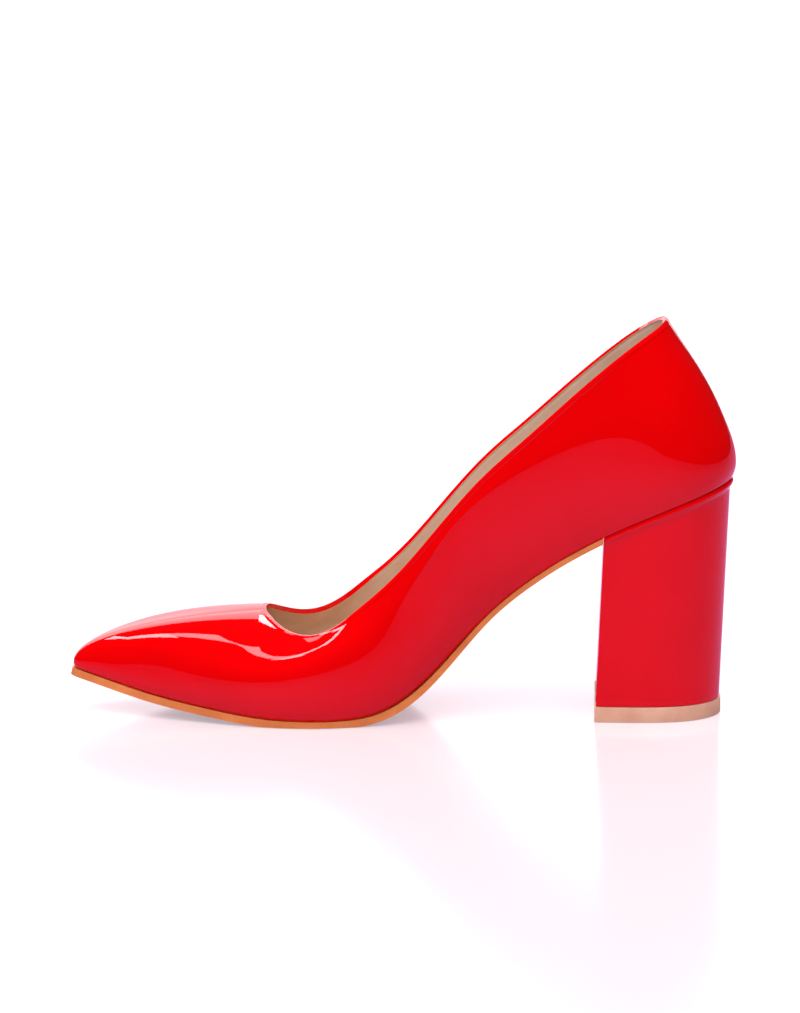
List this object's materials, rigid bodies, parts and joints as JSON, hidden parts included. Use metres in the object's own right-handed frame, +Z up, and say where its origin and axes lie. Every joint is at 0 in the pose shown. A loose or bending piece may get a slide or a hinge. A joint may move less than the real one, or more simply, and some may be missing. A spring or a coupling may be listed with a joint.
{
  "type": "block heel pump",
  "caption": "Pointed pump in red patent for the right foot, with a thin sole, a covered block heel and a top piece.",
  "frame": {"origin": "middle of the bounding box, on the floor the shoe stands on", "axes": "+Z up, -Y towards the toe, +X towards the inner side of the foot"},
  "size_m": [0.0812, 0.2414, 0.1442],
  "materials": {
    "red_patent": "glossy red patent",
    "beige_sock": "smooth matte lining leather",
    "tan_resin": "satin moulded sole, tan edge",
    "nude_rubber": "satin nude"
  },
  "bodies": {
    "root": {"upper": "red_patent", "insole": "beige_sock", "outsole": "tan_resin", "heel": "red_patent", "heel_tip": "nude_rubber"}
  },
  "joints": []
}
